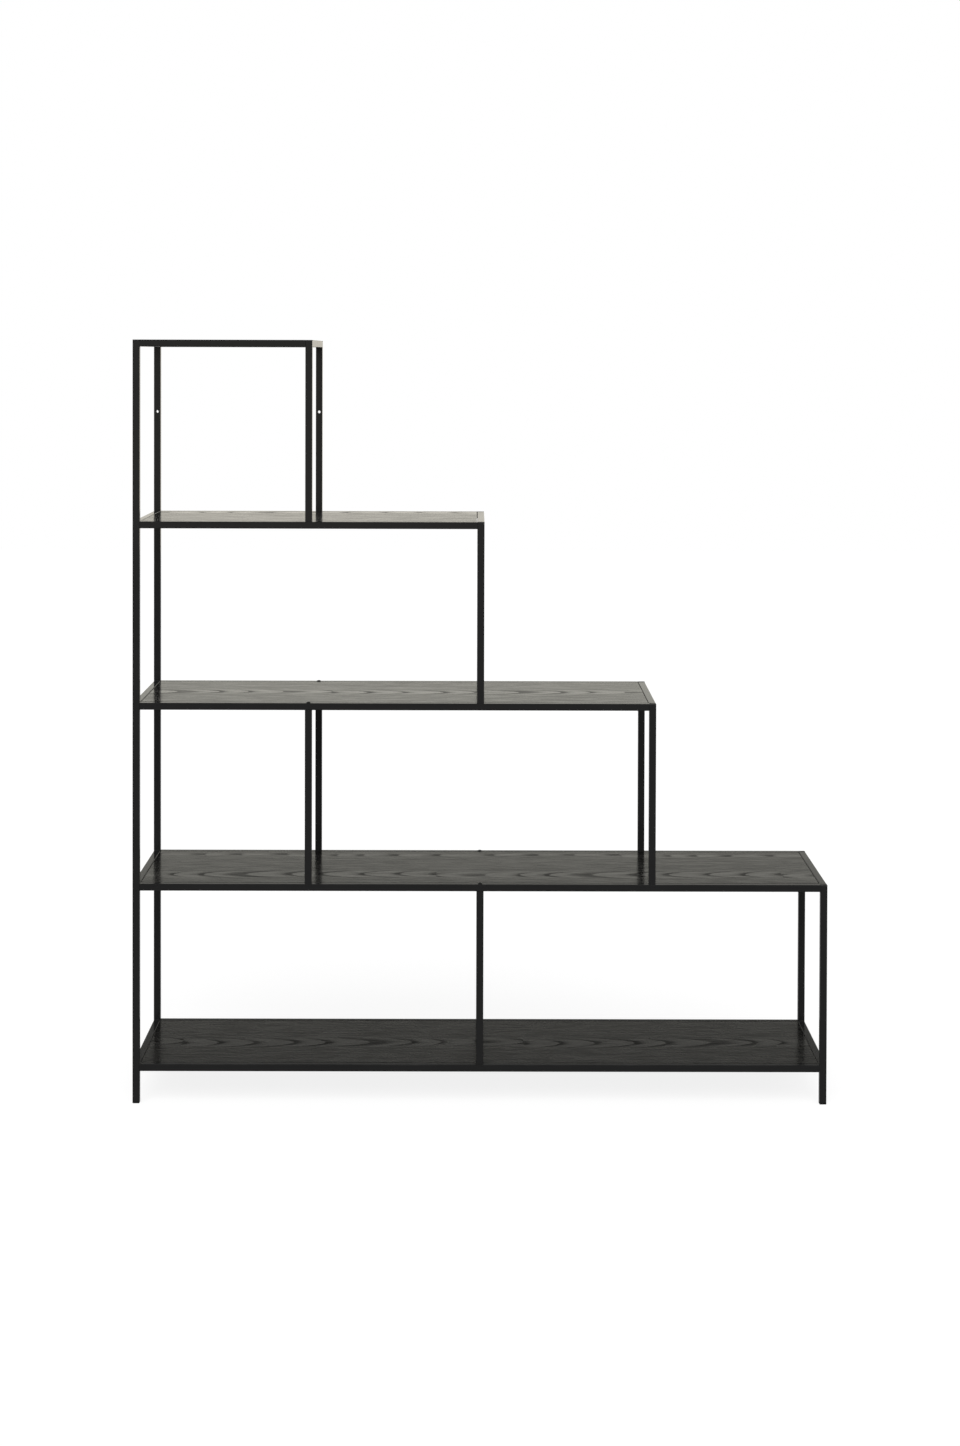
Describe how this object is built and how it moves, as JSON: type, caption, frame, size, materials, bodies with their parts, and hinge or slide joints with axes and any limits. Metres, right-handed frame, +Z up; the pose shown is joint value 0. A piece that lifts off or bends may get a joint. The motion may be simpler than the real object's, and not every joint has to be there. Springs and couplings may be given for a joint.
{
  "type": "staircase bookshelf",
  "caption": "Open free-standing bookshelf stepped down on one side: slim black square-tube frame with inset dark ash-effect shelf boards and an open top frame.",
  "frame": {"origin": "centre of the shelf's footprint, on the floor", "axes": "+X to the right seen from the front, towards the low end; -Y to the front; +Z up"},
  "size_m": [1.5, 0.35, 1.65],
  "materials": {
    "black_powder_coat": "fine matt powder coat on steel tube",
    "shelf_board": "black ash effect, satin, with fine open grain",
    "black_plastic": "moulded, finely textured",
    "black_bolt": "blackened steel, satin",
    "plain_steel": "bare drawn steel, hidden inside the tubes"
  },
  "bodies": {
    "root": {"bottom_back_rail": "black_powder_coat", "bottom_front_rail": "black_powder_coat", "bottom_left_rail": "black_powder_coat", "bottom_right_rail": "black_powder_coat", "bottom_shelf": "shelf_board", "bottom_shelf_brackets": "black_powder_coat", "divider_bolts": "black_bolt", "divider_nuts": "plain_steel", "fourth_back_rail": "black_powder_coat", "fourth_front_rail": "black_powder_coat", "fourth_left_rail": "black_powder_coat", "fourth_right_rail": "black_powder_coat", "fourth_shelf": "shelf_board", "fourth_shelf_brackets": "black_powder_coat", "left_back_cap": "black_plastic", "left_back_foot": "black_plastic", "left_back_post": "black_powder_coat", "left_front_cap": "black_plastic", "left_front_foot": "black_plastic", "left_front_post": "black_powder_coat", "lower_divider_back_post": "black_powder_coat", "lower_divider_front_post": "black_powder_coat", "lower_step_back_cap": "black_plastic", "lower_step_back_post": "black_powder_coat", "lower_step_front_cap": "black_plastic", "lower_step_front_post": "black_powder_coat", "middle_step_back_cap": "black_plastic", "middle_step_back_post": "black_powder_coat", "middle_step_front_cap": "black_plastic", "middle_step_front_post": "black_powder_coat", "post_stubs": "plain_steel", "rail_stubs": "plain_steel", "right_back_cap": "black_plastic", "right_back_foot": "black_plastic", "right_back_leg": "black_powder_coat", "right_front_cap": "black_plastic", "right_front_foot": "black_plastic", "right_front_leg": "black_powder_coat", "second_back_rail": "black_powder_coat", "second_front_rail": "black_powder_coat", "second_left_rail": "black_powder_coat", "second_right_rail": "black_powder_coat", "second_shelf": "shelf_board", "second_shelf_brackets": "black_powder_coat", "third_back_rail": "black_powder_coat", "third_front_rail": "black_powder_coat", "third_left_rail": "black_powder_coat", "third_right_rail": "black_powder_coat", "third_shelf": "shelf_board", "third_shelf_brackets": "black_powder_coat", "top_back_rail": "black_powder_coat", "top_front_rail": "black_powder_coat", "top_left_rail": "black_powder_coat", "top_right_rail": "black_powder_coat", "upper_divider_back_post": "black_powder_coat", "upper_divider_front_post": "black_powder_coat", "upper_step_back_cap": "black_plastic", "upper_step_back_post": "black_powder_coat", "upper_step_front_cap": "black_plastic", "upper_step_front_post": "black_powder_coat"}
  },
  "joints": []
}
